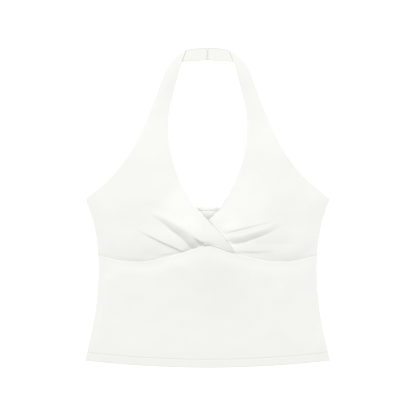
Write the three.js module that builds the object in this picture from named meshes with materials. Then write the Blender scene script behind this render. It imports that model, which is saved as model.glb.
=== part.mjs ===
// A halter neck top with a crossed, gathered bust, laid flat on its back.
// +X is to the right of someone looking down on its front, +Y runs from the hem to the neck,
// and +Z points up from the surface that it lies on. All lengths are in millimetres.
// The origin is on that surface, in the middle of the top's width and of its length.
import * as THREE from "three";

// Driving sizes
const HALF_LENGTH = 262.6; // half of the length from the neck band's top edge to the lowest point of the hem
const HALF_BUST = 200.2; // half of the flat width from underarm to underarm
const UNDERARM_Y = 14.5;
const BODY_CLOTH = 1.2; // one layer of the body's knit
const HALTER_CLOTH = 1.5; // the halter pieces are doubled, with turned-in edges
const SEAM_GAP = 0.3; // between pieces that lie on each other
const SEAM_HALF_GAP = 0.2; // from the line of the bust seam to either edge
const HEM_DEPTH = 13.7;
const HEM_TURN = 1.0; // what the turned-up layer adds to the wall along the hem
const HEM_SIDE_RISE = 11.6; // the hem's corners lie this much higher than its middle
const BACK_EDGE_Y = 1.5; // the middle of the back panel's top edge
const BAND_DEPTH = 6.4; // the stitched band inside the back panel's top edge
const BAND_CLOTH = 1.0;
const LAYER_EASE = 0.6; // between the crossed halter pieces, and inside the fold behind the neck
const FRONT_LOFT = 1.1; // how far the front stands off the back, away from the side seams

// Half the body's width, from the underarm down to the hem's corner
const SIDE_EDGE = [
  { y: UNDERARM_Y, half: HALF_BUST },
  { y: 9.0, half: 198.8 },
  { y: -4.1, half: 193.8 },
  { y: -20.5, half: 188.7 },
  { y: -53.3, half: 182.4 },
  { y: -77.1, half: 180.2 },
  { y: -102.5, half: 179.5 },
  { y: -135.3, half: 180.8 },
  { y: -168.1, half: 184.4 },
  { y: -200.9, half: 190.2 },
  { y: -233.7, half: 197.4 },
  { y: HEM_SIDE_RISE - HALF_LENGTH, half: 201.3 },
];

// The seam under the bust, from the middle of the front to either side
const BUST_SEAM = [
  { x: 0, y: -57.2 },
  { x: 16, y: -64.8 },
  { x: 38, y: -72.3 },
  { x: 60, y: -79.0 },
  { x: 80, y: -83.6 },
  { x: 97, y: -86.9 },
  { x: 120, y: -88.4 },
  { x: 150, y: -85.6 },
  { x: 180.2, y: -77.1 },
];
const SEAM_PEAK = 7; // how soon the seam's peak rounds off in the middle

// The halter pieces are described on the left of the front, and the other one is mirrored.
// A row runs across a piece from its neckline edge to its outer edge; columns is its number of points.
// The cup of the piece that crosses on top, from the bust seam up to the underarm
const CUP_ROWS_ON_TOP = [
  { neckX: 44.5, neckY: -74.8, outerX: -180.2, outerY: -76.9 },
  { neckX: 34.4, neckY: -59.2, outerX: -181.3, outerY: -62 },
  { neckX: 19.2, neckY: -41.7, outerX: -183.6, outerY: -45 },
  { neckX: 0.5, neckY: -21.2, outerX: -187.4, outerY: -25 },
  { neckX: -10, neckY: -10, outerX: -191.2, outerY: -12 },
  { neckX: -19.5, neckY: 0.6, outerX: -195.6, outerY: 1 },
  { neckX: -28.7, neckY: UNDERARM_Y, outerX: -HALF_BUST, outerY: UNDERARM_Y },
];

// The cup of the piece that crosses below: its end is hidden under the other one
const CUP_ROWS_BELOW = [
  { neckX: 4, neckY: -61.5, outerX: -180.2, outerY: -76.9 },
  { neckX: 3, neckY: -48, outerX: -181.3, outerY: -62 },
  { neckX: 1.5, neckY: -34.5, outerX: -183.6, outerY: -45 },
  { neckX: -0.4, neckY: -21.2, outerX: -187.4, outerY: -25 },
  { neckX: -10, neckY: -10, outerX: -191.2, outerY: -12 },
  { neckX: -19.5, neckY: 0.6, outerX: -195.6, outerY: 1 },
  { neckX: -28.7, neckY: UNDERARM_Y, outerX: -HALF_BUST, outerY: UNDERARM_Y },
];

// From the underarm up the strap to the fold where it turns behind the neck
const STRAP_ROWS = [
  { neckX: -28.7, neckY: UNDERARM_Y, outerX: -HALF_BUST, outerY: UNDERARM_Y },
  { neckX: -37.1, neckY: 28.7, outerX: -184.0, outerY: 28.7 },
  { neckX: -45.2, neckY: 45.1, outerX: -164.4, outerY: 45.1 },
  { neckX: -51.7, neckY: 61.5, outerX: -148.8, outerY: 61.5 },
  { neckX: -60.5, neckY: 94.3, outerX: -125.0, outerY: 94.3 },
  { neckX: -64.1, neckY: 127.1, outerX: -108.3, outerY: 127.1 },
  { neckX: -62.5, neckY: 159.9, outerX: -94.3, outerY: 159.9 },
  { neckX: -54.5, neckY: 192.7, outerX: -81.6, outerY: 192.7 },
  { neckX: -49.8, neckY: 211.5, outerX: -76.3, outerY: 207.6 },
  { neckX: -44.6, neckY: 230.5, outerX: -71.0, outerY: 221.0 },
  { neckX: -39.6, neckY: 245.5, outerX: -67.0, outerY: 229.0 },
  { neckX: -34.7, neckY: 258.6, outerX: -64.0, outerY: 232.8 },
];

// The same strip past the fold, lying under the strap, up to the seam at the back of the neck
const NECK_ROWS = [
  { neckX: -34.7, neckY: 258.6, outerX: -64.0, outerY: 232.8 },
  { neckX: -28.0, neckY: 261.0, outerX: -50.0, outerY: 236.8 },
  { neckX: -19.0, neckY: 262.1, outerX: -35.0, outerY: 239.5 },
  { neckX: -9.0, neckY: 262.5, outerX: -17.0, outerY: 240.6 },
  { neckX: -0.15, neckY: HALF_LENGTH, outerX: -0.15, outerY: 241.8 },
];
const FOLD_BOW = 1.6; // how far the neck fold bulges out between its ends
const NECKLINE_STAND = 3.0; // how high the lower piece's neckline lies off the back in the V

// Broad swells of the cloth. x is the distance from the middle, and lean raises a cup's crest outwards.
const CUP_SWELL = { x: 97, y: 48, lean: 0.6, radiusAcross: 90, radiusUp: 115, radiusDown: 145, height: 4.6 };
const GATHERED_SWELL = { x: 42, y: -56, acrossRadius: 42, alongRadius: 30, height: 2.0 };
const CROSSING_SWELL = { x: 0, y: -44, acrossRadius: 36, alongRadius: 18, height: 1.0 };

// How far the seam under the bust stands off the back: along its whole length, and more at its peak
const SEAM_STAND = { height: 2.0, reach: 110, peakX: 4, peakReach: 34, peakHeight: 2.8, fadeDown: 52 };

// How high the neckline edge of the upper piece lies where it crosses the other one
const CROSSING_EDGE = { y: -48, reachUp: 62, reachDown: 30, low: 1.8, height: 7.4 };

// Lines where the cloth drops to a crease, from the soft end to where the cloth is caught.
// Those of the piece on top are on the left of the front, and those of the other one are mirrored to it.
const BAND_FOOT = [
  { x: -95, y: -12 }, { x: -82, y: -19.5 }, { x: -70, y: -28 }, { x: -58, y: -38.5 },
  { x: -45.3, y: -48 }, { x: -36, y: -57 }, { x: -29, y: -65 },
];
const ROLL_FOOT = [
  { x: -117, y: -34 }, { x: -108.5, y: -40.4 }, { x: -81.6, y: -54.5 }, { x: -58.2, y: -65 },
  { x: -41.7, y: -72.6 },
];
const LEFT_CUP_FOOT = [
  { x: -176, y: -78 }, { x: -150, y: -85.5 }, { x: -120, y: -88.5 }, { x: -97, y: -87 },
  { x: -60, y: -79 }, { x: -40, y: -73 },
];
const FIRST_FOOT = [
  { x: -112, y: -21 }, { x: -94.1, y: -26.3 }, { x: -71.4, y: -32 }, { x: -52.5, y: -37 },
  { x: -33.6, y: -41.4 }, { x: -16, y: -42.4 },
];
const DEEP_FOOT = [
  { x: -122, y: -30 }, { x: -111.8, y: -35 }, { x: -103, y: -40.5 }, { x: -86.6, y: -47.5 },
  { x: -74, y: -52 }, { x: -61.3, y: -56.6 }, { x: -50, y: -58.6 }, { x: -32, y: -61 },
];
const LOWEST_FOOT = [
  { x: -120, y: -72.8 }, { x: -106.7, y: -73.6 }, { x: -91.6, y: -74.4 }, { x: -76.5, y: -75.3 },
  { x: -61.3, y: -74.8 }, { x: -46, y: -75.5 },
];
const RIGHT_CUP_FOOT = [
  { x: -176, y: -78 }, { x: -150, y: -85.5 }, { x: -120, y: -88.5 }, { x: -97, y: -87 },
];

// The steps down to those lines. The cloth above a line, towards +Y, stands height over the cloth below
// it. It gets there within riseSoft at the soft end and riseHeld at the caught end, and sinks away over
// fade. full is the share of the line at which the step has its whole height, and end is where it is gone.
const STEPS_ON_TOP = [
  { foot: BAND_FOOT, height: 8.0, riseSoft: 6, riseHeld: 20, fade: 60, full: 0.8, end: 3.0, power: 1.7 },
  { foot: ROLL_FOOT, height: 2.2, riseSoft: 5, riseHeld: 5, fade: 20, full: 0.6, end: 1.15, power: 1.7 },
  { foot: LEFT_CUP_FOOT, height: 1.9, riseSoft: 20, riseHeld: 16, fade: 40, full: 0.5, end: 1.3, power: 1.3 },
];
const STEPS_BELOW = [
  { foot: FIRST_FOOT, height: 1.0, riseSoft: 4, riseHeld: 4, fade: 30, full: 0.5, end: 1.15, power: 1.7 },
  { foot: DEEP_FOOT, height: 4.6, riseSoft: 8, riseHeld: 13, fade: 38, full: 0.6, end: 1.15, power: 1.5 },
  { foot: LOWEST_FOOT, height: 1.6, riseSoft: 4.5, riseHeld: 5, fade: 20, full: 0.8, end: 1.15, power: 1.7 },
  { foot: RIGHT_CUP_FOOT, height: 1.8, riseSoft: 20, riseHeld: 10, fade: 40, full: 0.3, end: 1.5, power: 1.3 },
];

// Soft folds in the body below the bust: height is + for a ridge and - for a trough, above and below are
// the half-widths of its two sides, and bow is how far its middle lies off the straight line.
const FRONT_FOLDS = [
  { x0: -128, y0: -238, x1: -118, y1: -100, bow: 5, height: -0.7, above: 22, below: 22 },
  { x0: -168, y0: -225, x1: -160, y1: -120, bow: 3, height: 0.6, above: 13, below: 13 },
  { x0: 100, y0: -190, x1: 140, y1: -92, bow: 4, height: 0.7, above: 12, below: 16 },
  { x0: 192, y0: -205, x1: 166, y1: -246, bow: 5, height: 0.6, above: 9, below: 11 },
];
const SEAM_PINCH = 14; // gathers and swells come down to the seam over about this length
const BAND_PINCH = 4; // and the crossing band over this one

const clamp01 = (v) => Math.min(1, Math.max(0, v));

// 0 below low, 1 above high, and smooth between them
function ease(low, high, v) {
  const t = clamp01((v - low) / (high - low));
  return t * t * (3 - 2 * t);
}

// 1 at 0, and down to a third at reach
const bell = (v, reach) => Math.exp(-((v / reach) ** 2));

// A smooth curve through the rows of a table, as a function from one of its columns to another
function curveThrough(table, from, to) {
  const rows = [...table].sort((a, b) => a[from] - b[from]);
  const at = rows.map((r) => r[from]);
  const values = rows.map((r) => r[to]);
  const last = rows.length - 1;
  const slopes = values.map((_, i) => {
    const a = Math.max(0, i - 1);
    const b = Math.min(last, i + 1);
    return (values[b] - values[a]) / (at[b] - at[a]);
  });
  return (x) => {
    let i = 0;
    while (i < last - 1 && x > at[i + 1]) i += 1;
    const width = at[i + 1] - at[i];
    const t = clamp01((x - at[i]) / width);
    const rise = t * t * (3 - 2 * t);
    return (
      values[i] * (1 - rise) +
      values[i + 1] * rise +
      width * t * (1 - t) * (slopes[i] * (1 - t) - slopes[i + 1] * t)
    );
  };
}

const halfWidth = curveThrough(SIDE_EDGE, "y", "half");
const seamByX = curveThrough(BUST_SEAM, "x", "y");
const bustSeamY = (x) => seamByX(Math.hypot(x, SEAM_PEAK));
const hemY = (x) => -HALF_LENGTH + HEM_SIDE_RISE * (x / HALF_BUST) ** 2;
const backEdgeY = (x) => BACK_EDGE_Y + (UNDERARM_Y - BACK_EDGE_Y) * (x / HALF_BUST) ** 2;
const topNeckline = curveThrough(CUP_ROWS_ON_TOP, "neckY", "neckX");
const lowerNeckline = curveThrough(CUP_ROWS_BELOW, "neckY", "neckX");
const bandLowerEdge = curveThrough(NECK_ROWS, "outerX", "outerY");

// The height that a soft fold adds at a point
function foldHeight(x, y, f) {
  const dx = f.x1 - f.x0;
  const dy = f.y1 - f.y0;
  const length = Math.hypot(dx, dy);
  const along = ((x - f.x0) * dx + (y - f.y0) * dy) / length ** 2;
  const held = clamp01(along);
  const off = ((y - f.y0) * dx - (x - f.x0) * dy) / length - f.bow * 4 * held * (1 - held);
  const side = dx < 0 ? -off : off;
  const ends = ease(-0.05, 0.55, along) * (1 - ease(1.0, 1.2, along));
  return f.height * ends * Math.exp(-((side / (side > 0 ? f.above : f.below)) ** 2));
}

const foldsHeight = (x, y, folds) => folds.reduce((sum, f) => sum + foldHeight(x, y, f), 0);

// A curved line, as a function of a point: how far along it the point is, as a share of its length,
// and how far above it, towards +Y
function curvedLine(points) {
  const start = points[0];
  const end = points.at(-1);
  const length = Math.hypot(end.x - start.x, end.y - start.y);
  const wayX = (end.x - start.x) / length;
  const wayY = (end.y - start.y) / length;
  const place = (x, y) => ({
    along: ((x - start.x) * wayX + (y - start.y) * wayY) / length,
    side: (y - start.y) * wayX - (x - start.x) * wayY,
  });
  const offset = curveThrough(points.map((p) => place(p.x, p.y)), "along", "side");
  return (x, y) => {
    const { along, side } = place(x, y);
    return { along, side: side - offset(clamp01(along)) };
  };
}

// The height that a table of steps adds at a point, as a function
function stepsAlong(table) {
  const steps = table.map((step) => ({ ...step, line: curvedLine(step.foot) }));
  return (x, y) =>
    steps.reduce((sum, step) => {
      const { along, side } = step.line(x, y);
      const rise = step.riseSoft + (step.riseHeld - step.riseSoft) * clamp01(along);
      const reach = ease(-0.1, step.full, along) * (1 - ease(1.0, step.end, along));
      const drop = 1 - clamp01(1 - side / rise) ** step.power;
      return sum + step.height * reach * drop * bell(Math.max(0, side - rise), step.fade);
    }, 0);
}

const stepsOnTop = stepsAlong(STEPS_ON_TOP);
const stepsBelow = stepsAlong(STEPS_BELOW);

function cupSwell(x, y) {
  const outwards = Math.abs(x) - CUP_SWELL.x;
  const fromCrest = y - CUP_SWELL.y - CUP_SWELL.lean * Math.max(0, outwards);
  const along = fromCrest / (fromCrest > 0 ? CUP_SWELL.radiusUp : CUP_SWELL.radiusDown);
  return CUP_SWELL.height * (1 - ease(0, 1, Math.hypot(outwards / CUP_SWELL.radiusAcross, along)));
}

const swell = (x, y, s) => s.height * bell(Math.abs(x) - s.x, s.acrossRadius) * bell(y - s.y, s.alongRadius);

// x is + to the right of the front here
const seamStand = (x) =>
  SEAM_STAND.height * Math.exp(-(Math.abs(x / SEAM_STAND.reach) ** 3)) +
  SEAM_STAND.peakHeight * bell(x - SEAM_STAND.peakX, SEAM_STAND.peakReach);

function crossingEdge(y) {
  const reach = y > CROSSING_EDGE.y ? CROSSING_EDGE.reachUp : CROSSING_EDGE.reachDown;
  return CROSSING_EDGE.low + CROSSING_EDGE.height * bell(y - CROSSING_EDGE.y, reach);
}

// 1 at a neckline edge and 0 away from it. across is the distance to the edge along X.
const nearEdge = (across, reach) => bell(Math.max(0, across), reach);

// How high the pieces under a halter piece reach, with the gap to it: the back panel and its band,
// and nothing past the back panel's top edge
function underHalter(x, y) {
  const above = y - backEdgeY(x);
  const overBand = ease(-BAND_DEPTH - 34, -BAND_DEPTH - 1.5, above);
  const pastEdge = ease(2, 40, above);
  return (BODY_CLOTH + SEAM_GAP + overBand * (BAND_CLOTH + SEAM_GAP)) * (1 - pastEdge);
}

// The loft of the front: nothing along the side seams and the armholes, and little in the open neck
const openNeck = (x, y) => bell(x, 34) * bell(y + 4, 24);
const inFront = (x, y) => ease(0, 28, halfWidth(y) - Math.abs(x)) * (1 - ease(0, 45, y));
const loft = (x, y) => FRONT_LOFT * inFront(x, y) * (1 - 0.8 * openNeck(x, y));

// The underside of the lower halter piece, mirrored to the left of the front
function undersideBelow(x, y) {
  const pastNeckline = x + topNeckline(y);
  const covered = y < -15 ? ease(0, 18, pastNeckline) : 0;
  const stand = seamStand(-x);
  const fromSeam = Math.max(0, y - bustSeamY(x));
  const gathers = cupSwell(x, y) + swell(x, y, GATHERED_SWELL) + stepsBelow(x, y);
  const relief = gathers * (1 - covered) + loft(x, y) + swell(x, y, CROSSING_SWELL);
  const free = Math.max(0, stand + (relief - stand) * (1 - Math.exp(-fromSeam / SEAM_PINCH)));
  const room = Math.max(0.2, crossingEdge(y) - HALTER_CLOTH - LAYER_EASE);
  const held = nearEdge(-pastNeckline, 12) * (1 - ease(-24, -12, y));
  const alone = free + (Math.min(free, room) - free) * held;
  const down = nearEdge(lowerNeckline(y) - x, 16) * ease(-34, -16, y) * (1 - ease(4, 24, y));
  return underHalter(x, y) + alone * (1 - down) + NECKLINE_STAND * down;
}

// The underside of the piece that crosses on top of it
function undersideOnTop(x, y) {
  const stand = seamStand(x);
  const fromSeam = Math.max(0, y - bustSeamY(x));
  const onBand = ease(-44, -30, x);
  const caught = Math.exp(-fromSeam / SEAM_PINCH) * (1 - onBand) + Math.exp(-fromSeam / BAND_PINCH) * onBand;
  const swells = cupSwell(x, y) + swell(x, y, GATHERED_SWELL) + swell(x, y, CROSSING_SWELL);
  const relief = swells + loft(x, y) + stepsOnTop(x, y);
  const free = Math.max(0, relief + (stand - relief) * caught);
  const down = nearEdge(topNeckline(y) - x, 19) * (1 - ease(4, 24, y));
  const edge = stand + (crossingEdge(y) - stand) * (1 - Math.exp(-fromSeam / BAND_PINCH));
  const alone = underHalter(x, y) + free * (1 - down) + edge * down;
  if (y > UNDERARM_Y) return alone;
  const ramp = 8 + 30 * ease(-52, -25, y);
  const crossing = ease(-ramp, -1, x + lowerNeckline(y)) * (1 - ease(-24, -14, y));
  const lowerTop = undersideBelow(-x, y) + HALTER_CLOTH + LAYER_EASE;
  return Math.max(alone, underHalter(x, y) + crossing * (lowerTop - underHalter(x, y)));
}

// The underside of a strap, which passes over the band behind the neck just below the fold
function undersideStrap(x, y) {
  const overBand = ease(-19, -4, y - bandLowerEdge(x));
  return Math.max(underHalter(x, y), overBand * (HALTER_CLOTH + LAYER_EASE));
}

// The hem's turned-up layer adds its thickness over the last HEM_DEPTH of the body
const inHem = (x, y) => 1 - ease(HEM_DEPTH - 0.6, HEM_DEPTH + 0.6, y - hemY(x));

function frontUnderside(x, y) {
  const overBackHem = 1 - ease(HEM_DEPTH + 3, HEM_DEPTH + 34, y - hemY(x));
  const fromSeam = Math.max(0, bustSeamY(x) - y);
  const slack = loft(x, y) * (1 - 0.6 * overBackHem) * ease(0, 24, fromSeam);
  const lift = slack + seamStand(x) * bell(fromSeam, SEAM_STAND.fadeDown);
  const folds = foldsHeight(x, y, FRONT_FOLDS) * ease(0, 40, y - hemY(x));
  const stack = 2 * HEM_TURN * overBackHem - HEM_TURN * inHem(x, y);
  return BODY_CLOTH + SEAM_GAP + stack + Math.max(0, lift + folds);
}

// A point of a wall: the middle of the cloth, which way its face side looks, and its thickness.
// underside(x, y) is the wall's lower surface, and at a seam the wall's edge is upright.
function clothPoint(x, y, underside, thickness, v, atSeam = false) {
  const middle = new THREE.Vector3(x, y, underside(x, y) + thickness / 2);
  if (atSeam) return { middle, face: new THREE.Vector3(0, 0, 1), thickness, v };
  const step = 0.4;
  const slopeX = (underside(x + step, y) - underside(x - step, y)) / (2 * step);
  const slopeY = (underside(x, y + step) - underside(x, y - step)) / (2 * step);
  return { middle, face: new THREE.Vector3(-slopeX, -slopeY, 1).normalize(), thickness, v };
}

// A closed wall of cloth from rows of points. Rows may differ in their number of points.
function clothWall(rows, mirrored = false) {
  const flip = mirrored ? -1 : 1;
  const positions = [];
  const triangles = [];
  const levels = [1, -1].map((level) =>
    rows.map((row) =>
      row.map((p) => {
        const at = p.middle.clone().addScaledVector(p.face, (level * p.thickness) / 2);
        positions.push(flip * at.x, at.y, at.z);
        return positions.length / 3 - 1;
      }),
    ),
  );
  const addTriangle = (a, b, c) => triangles.push(a, ...(mirrored ? [c, b] : [b, c]));
  const addStrip = (lower, upper, lowerV, upperV, faceUp) => {
    let i = 0;
    let j = 0;
    while (i < lower.length - 1 || j < upper.length - 1) {
      const takeLower = j === upper.length - 1 || (i < lower.length - 1 && lowerV[i + 1] <= upperV[j + 1]);
      const third = takeLower ? lower[i + 1] : upper[j + 1];
      if (faceUp) addTriangle(lower[i], upper[j], third);
      else addTriangle(lower[i], third, upper[j]);
      if (takeLower) i += 1;
      else j += 1;
    }
  };
  const addEdge = (face, inner) => {
    for (let k = 0; k < face.length - 1; k += 1) {
      addTriangle(face[k], inner[k], face[k + 1]);
      addTriangle(face[k + 1], inner[k], inner[k + 1]);
    }
  };
  const vs = rows.map((row) => row.map((p) => p.v));
  for (let r = 0; r < rows.length - 1; r += 1) {
    addStrip(levels[0][r], levels[0][r + 1], vs[r], vs[r + 1], true);
    addStrip(levels[1][r], levels[1][r + 1], vs[r], vs[r + 1], false);
  }
  const last = rows.length - 1;
  addEdge(levels[0][0].toReversed(), levels[1][0].toReversed());
  addEdge(levels[0][last], levels[1][last]);
  addEdge(levels[0].map((row) => row[0]), levels[1].map((row) => row[0]));
  addEdge(levels[0].map((row) => row.at(-1)).toReversed(), levels[1].map((row) => row.at(-1)).toReversed());
  const geometry = new THREE.BufferGeometry();
  geometry.setAttribute("position", new THREE.Float32BufferAttribute(positions, 3));
  geometry.setIndex(triangles);
  geometry.computeVertexNormals();
  return geometry;
}

// Rows spread evenly along a table of rows, from one end of it to the other
function rowsAlong(table, count) {
  const middles = table.map((r) => [(r.neckX + r.outerX) / 2, (r.neckY + r.outerY) / 2]);
  let run = 0;
  const stations = table.map((r, i) => {
    if (i) run += Math.hypot(middles[i][0] - middles[i - 1][0], middles[i][1] - middles[i - 1][1]);
    return { ...r, run };
  });
  const columns = ["neckX", "neckY", "outerX", "outerY"];
  const curves = columns.map((name) => curveThrough(stations, "run", name));
  return Array.from({ length: count }, (_, i) => {
    const at = (run * i) / (count - 1);
    return Object.fromEntries(columns.map((name, c) => [name, curves[c](at)]));
  });
}

// A point at share v across a row, moved out from the straight line by bow at its middle
function acrossRow(row, v, bow = 0) {
  const dx = row.outerX - row.neckX;
  const dy = row.outerY - row.neckY;
  const length = Math.hypot(dx, dy);
  const out = bow * 4 * v * (1 - v);
  return [row.neckX + dx * v + (dy / length) * out, row.neckY + dy * v - (dx / length) * out];
}

const CUP_COLUMNS = 44;
const STRAP_COLUMNS = 7;
const CUP_ROW_COUNT = 26;
const STRAP_ROW_COUNT = 30;
const NECK_ROW_COUNT = 6;
const FOLD_STEPS = 4;

// Shares across a cup row, closer together near the crossing, where the gathers are
const cupShares = Array.from({ length: CUP_COLUMNS }, (_, i) => {
  const t = i / (CUP_COLUMNS - 1);
  return t * (0.62 + 0.38 * t * t);
});
const evenShares = (count) => Array.from({ length: count }, (_, i) => i / (count - 1));

function halterPiece(cupTable, underside, mirrored) {
  const rows = [];
  const strapHeight = (x, y) => Math.max(undersideStrap(x, y), underside(x, y) * (1 - ease(120, 190, y)));
  const cupRows = rowsAlong(cupTable, CUP_ROW_COUNT);
  const seamEnds = cupRows[0];
  cupRows.forEach((row, i) => {
    const seamPull = (1 - i / (CUP_ROW_COUNT - 1)) ** 1.6;
    rows.push(
      cupShares.map((v) => {
        const [x, straightY] = acrossRow(row, v);
        const [seamX, seamLineY] = acrossRow(seamEnds, v);
        const y = straightY + seamPull * (bustSeamY(seamX) + SEAM_HALF_GAP - seamLineY);
        return clothPoint(x, y, underside, HALTER_CLOTH, v, i === 0);
      }),
    );
  });
  const strapRows = rowsAlong(STRAP_ROWS, STRAP_ROW_COUNT);
  strapRows.slice(1).forEach((row, i) => {
    const done = (i + 1) / (STRAP_ROW_COUNT - 1);
    const columns = Math.round(STRAP_COLUMNS + (CUP_COLUMNS - STRAP_COLUMNS) * (1 - ease(0.02, 0.55, done)));
    const bow = FOLD_BOW * ease(0.8, 1, done);
    rows.push(
      evenShares(columns).map((v) => {
        const [x, y] = acrossRow(row, v, bow);
        return clothPoint(x, y, strapHeight, HALTER_CLOTH, v);
      }),
    );
  });
  // Round the fold, from the strap on top to the band lying under it
  const foldRow = STRAP_ROWS.at(-1);
  const radius = (HALTER_CLOTH + LAYER_EASE) / 2;
  const out = new THREE.Vector3(foldRow.outerY - foldRow.neckY, foldRow.neckX - foldRow.outerX, 0);
  out.normalize();
  if (out.y < 0) out.negate();
  for (let k = 1; k <= FOLD_STEPS; k += 1) {
    const angle = (Math.PI * k) / FOLD_STEPS;
    rows.push(
      evenShares(STRAP_COLUMNS).map((v) => {
        const [x, y] = acrossRow(foldRow, v, FOLD_BOW);
        const face = out.clone().multiplyScalar(Math.sin(angle)).setZ(Math.cos(angle));
        const middle = new THREE.Vector3(x, y, HALTER_CLOTH / 2 + radius).addScaledVector(face, radius);
        return { middle, face, thickness: HALTER_CLOTH, v };
      }),
    );
  }
  const down = new THREE.Vector3(0, 0, -1);
  rowsAlong(NECK_ROWS, NECK_ROW_COUNT)
    .slice(1)
    .forEach((row, i) => {
      const bow = FOLD_BOW * (1 - ease(0, 1, (i + 1) / (NECK_ROW_COUNT - 1)));
      rows.push(
        evenShares(STRAP_COLUMNS).map((v) => {
          const [x, y] = acrossRow(row, v, bow);
          const middle = new THREE.Vector3(x, y, HALTER_CLOTH / 2);
          return { middle, face: down, thickness: HALTER_CLOTH, v };
        }),
      );
    });
  return clothWall(rows, mirrored);
}

// Rows of a body panel between two edges that are functions of x. shares are the rows' places from
// the lower edge to the upper one, and columnsIn(row) gives the places across each row.
function panelRows(lowerEdge, upperEdge, shares, columnsIn, underside, thickness, sideGap = 0) {
  return shares.map((share, row) =>
    columnsIn(row).map((across) => {
      let x = across * HALF_BUST;
      let y = 0;
      for (let pass = 0; pass < 8; pass += 1) {
        y = lowerEdge(x) + (upperEdge(x) - lowerEdge(x)) * share;
        x = across * (halfWidth(y) - sideGap);
      }
      return clothPoint(x, y, underside, thickness(x, y), -across, share === 1);
    }),
  );
}

// Columns from the right side to the left one, closer together at the side seams
const bodyColumns = (count) =>
  Array.from({ length: count }, (_, i) => {
    const turn = 1 - (2 * i) / (count - 1);
    return Math.sin(0.46 * Math.PI * turn) / Math.sin(0.46 * Math.PI);
  });

// Shares up a body panel: the hem's own rows first, then even ones
function panelShares(height, evenCount) {
  const hemShares = [0, 0.5, 0.95, 1.05].map((part) => (HEM_DEPTH * part) / height);
  const rest = Array.from({ length: evenCount }, (_, i) => hemShares[3] + ((1 - hemShares[3]) * (i + 1)) / evenCount);
  return [...hemShares, ...rest];
}

function frontWaistPanel() {
  const upper = (x) => bustSeamY(x) - SEAM_HALF_GAP;
  const thickness = (x, y) => BODY_CLOTH + HEM_TURN * inHem(x, y);
  const shares = panelShares(HALF_LENGTH + BUST_SEAM[3].y, 12);
  const columnsIn = (row) => bodyColumns(row > shares.length - 3 ? 49 : 23);
  return clothWall(panelRows(hemY, upper, shares, columnsIn, frontUnderside, thickness));
}

function backPanel() {
  const thickness = (x, y) => BODY_CLOTH + HEM_TURN * inHem(x, y);
  const shares = panelShares(HALF_LENGTH + BACK_EDGE_Y, 12);
  const columns = bodyColumns(21);
  return clothWall(panelRows(hemY, backEdgeY, shares, () => columns, () => 0, thickness));
}

function backTopBand() {
  const lower = (x) => backEdgeY(x) - BAND_DEPTH;
  const upper = (x) => backEdgeY(x) - 0.4;
  const onPanel = () => BODY_CLOTH + SEAM_GAP;
  const columns = bodyColumns(25);
  return clothWall(panelRows(lower, upper, [0, 0.5, 1], () => columns, onPanel, () => BAND_CLOTH, 1.5));
}

// Off-white knit: the body is a shade darker than the halter pieces
const bodyKnit = new THREE.MeshStandardMaterial({ color: 0xf2f3ee, roughness: 0.85, metalness: 0 });
const halterKnit = new THREE.MeshStandardMaterial({ color: 0xf7f8f3, roughness: 0.85, metalness: 0 });
const bandKnit = new THREE.MeshStandardMaterial({ color: 0xeeefe9, roughness: 0.85, metalness: 0 });

function part(name, geometry, material) {
  const mesh = new THREE.Mesh(geometry, material);
  mesh.name = name;
  return mesh;
}

const top = new THREE.Group();
top.add(
  part("back_panel", backPanel(), bodyKnit),
  part("back_top_band", backTopBand(), bandKnit),
  part("front_waist_panel", frontWaistPanel(), bodyKnit),
  part("halter_left", halterPiece(CUP_ROWS_ON_TOP, undersideOnTop, false), halterKnit),
  part("halter_right", halterPiece(CUP_ROWS_BELOW, undersideBelow, true), halterKnit),
);

export default top;
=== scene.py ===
"""A halter neck top with a crossed, gathered bust, laid flat on its back and seen from straight above.

The frame is the CAD model's: +X to the right of the view, +Y from the hem to the neck, +Z up.
Shapes are worked out in millimetres and turned into metres when a mesh is made.
Left and right are the viewer's.
"""

import math

import bpy
import numpy as np
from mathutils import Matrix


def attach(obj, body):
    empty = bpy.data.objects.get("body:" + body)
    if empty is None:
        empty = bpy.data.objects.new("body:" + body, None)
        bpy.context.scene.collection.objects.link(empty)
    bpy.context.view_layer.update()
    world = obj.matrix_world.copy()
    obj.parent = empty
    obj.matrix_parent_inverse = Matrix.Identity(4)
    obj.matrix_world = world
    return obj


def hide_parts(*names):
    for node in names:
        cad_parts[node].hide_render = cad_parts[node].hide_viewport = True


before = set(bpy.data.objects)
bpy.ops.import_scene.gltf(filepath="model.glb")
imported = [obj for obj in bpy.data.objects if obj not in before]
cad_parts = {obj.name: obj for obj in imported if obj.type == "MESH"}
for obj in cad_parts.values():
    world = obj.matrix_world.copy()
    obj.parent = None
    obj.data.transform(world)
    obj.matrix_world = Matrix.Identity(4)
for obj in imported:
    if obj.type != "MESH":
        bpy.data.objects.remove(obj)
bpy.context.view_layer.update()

MM = 0.001

# Sizes shared with the CAD model
HALF_LENGTH = 262.6
HALF_BUST = 200.2
UNDERARM_Y = 14.5
HEM_DEPTH = 13.7
HEM_SIDE_RISE = 11.6
BACK_EDGE_Y = 1.5
BAND_DEPTH = 6.4
NECK_BAND_LOWER_Y = 241.8
SEAM_PEAK = 7.0
FOLD_BOW = 1.6
LAYER_EASE = 0.6

# How thick the cloth is drawn, and how its layers lie
HALTER_CLOTH = 1.5
BODY_CLOTH = 1.0
BAND_CLOTH = 0.9
BAND_MIDDLE_Z = 0.9
BAND_INSET = 1.5  # from the sides of the back
BAND_DROP = 0.4  # from the back's top edge
FRONT_REST = 1.5
HEM_LAYER = 1.1  # from the middle of one layer of a hem to the middle of the other
HEM_STACK = 2.0
HEM_INNER_SHARE = 0.45  # half the drawn thickness of a hem's inner layer, as a share of the cloth's
SEAM_TUCK = 0.6  # how far the cups' lower edge goes in under the waist's top edge
CROSSING_GAP = 0.15  # between the two halter pieces where they cross

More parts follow.
